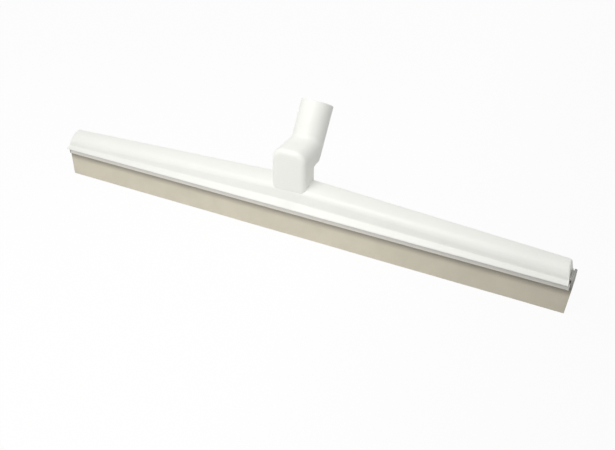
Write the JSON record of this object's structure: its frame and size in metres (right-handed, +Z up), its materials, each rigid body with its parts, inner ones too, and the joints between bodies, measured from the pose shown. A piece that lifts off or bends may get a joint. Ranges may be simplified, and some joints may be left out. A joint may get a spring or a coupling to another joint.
{
  "type": "floor squeegee head",
  "caption": "Long white floor squeegee head with a leaning threaded handle socket and a slide-in cassette that holds a pair of parallel soft rubber blades.",
  "frame": {"origin": "on the floor, at the middle of the front blade's working edge", "axes": "+X along the blades towards the end where the cassette slides out, -Y to the front, +Z up"},
  "size_m": [0.6036, 0.092, 0.1402],
  "materials": {
    "white_plastic": "smooth moulded polypropylene, slight sheen",
    "grey_plastic": "extruded polypropylene, satin",
    "dark_grey_plastic": "moulded polypropylene, satin",
    "foam_rubber": "beige closed-cell foam rubber, cut faces",
    "stainless": "plain stainless steel"
  },
  "bodies": {
    "head": {"head_shell": "white_plastic", "neck_socket": "white_plastic", "backing_plate": "stainless", "neck_screws": "stainless"},
    "cassette": {"cassette_carrier": "grey_plastic", "front_blade": "foam_rubber", "rear_blade": "foam_rubber", "right_end_cap": "dark_grey_plastic", "left_end_cap": "dark_grey_plastic"}
  },
  "joints": [
    {"name": "cassette_slide", "type": "slide", "parent": "head", "child": "cassette", "axis": [1, 0, 0], "range_m": [0, 0.605]}
  ]
}
